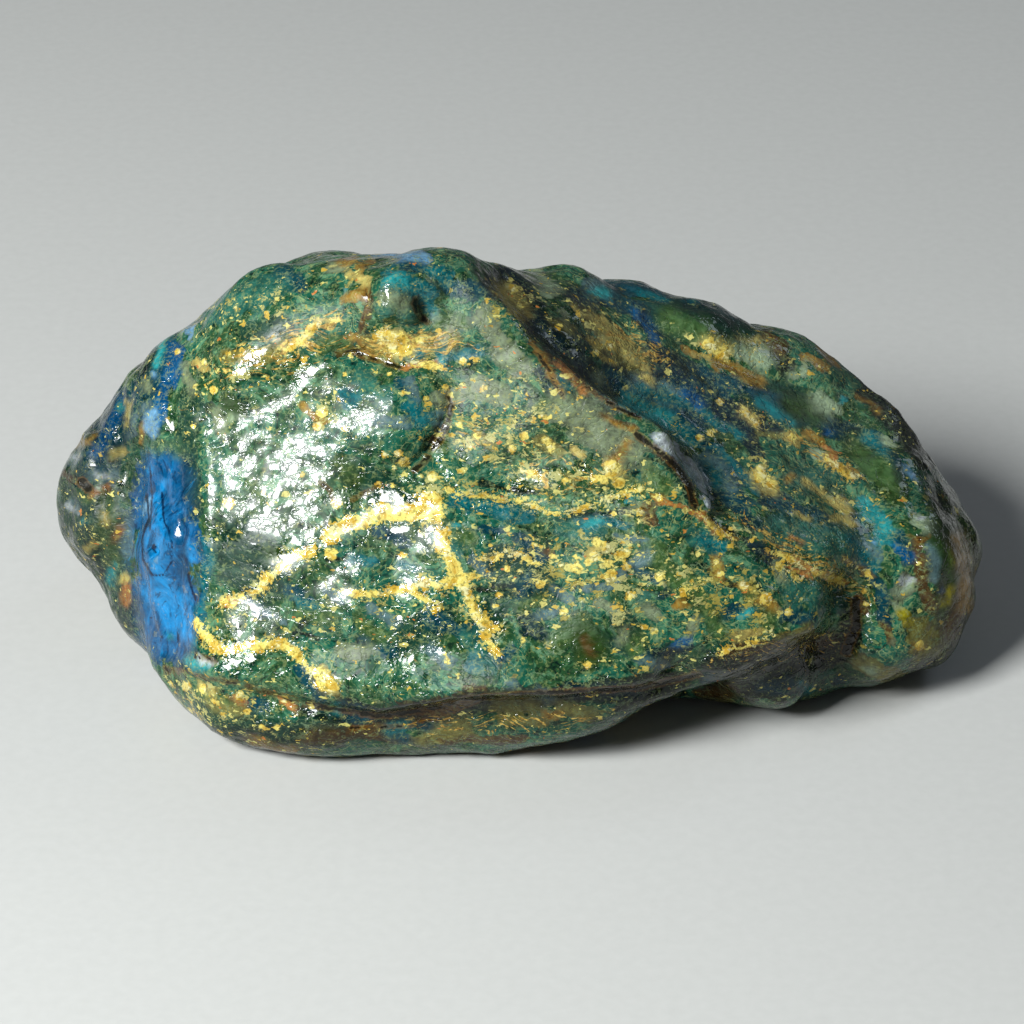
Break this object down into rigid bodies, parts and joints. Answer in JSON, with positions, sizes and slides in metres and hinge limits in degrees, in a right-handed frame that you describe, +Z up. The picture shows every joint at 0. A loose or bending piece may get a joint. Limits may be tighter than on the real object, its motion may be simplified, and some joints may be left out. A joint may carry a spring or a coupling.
{
  "type": "lump of rough amber",
  "caption": "Lump of rough blue amber with its crust on: a high worn head with one big sloping face, a lipped ridge, a blunt nose and a low tail, lying on its flattest side.",
  "frame": {"origin": "under the middle of the lump's box, on the surface that it rests on", "axes": "+X along the lump from its blunt nose to its low tail, +Y away from its big worn face, +Z up"},
  "size_m": [0.0942, 0.0532, 0.045],
  "materials": {
    "amber": "fossil resin with its crust on: deep green mottled with gold specks, veins and blue patches, glossy as if wet"
  },
  "bodies": {
    "root": {"amber_lump": "amber"}
  },
  "joints": []
}
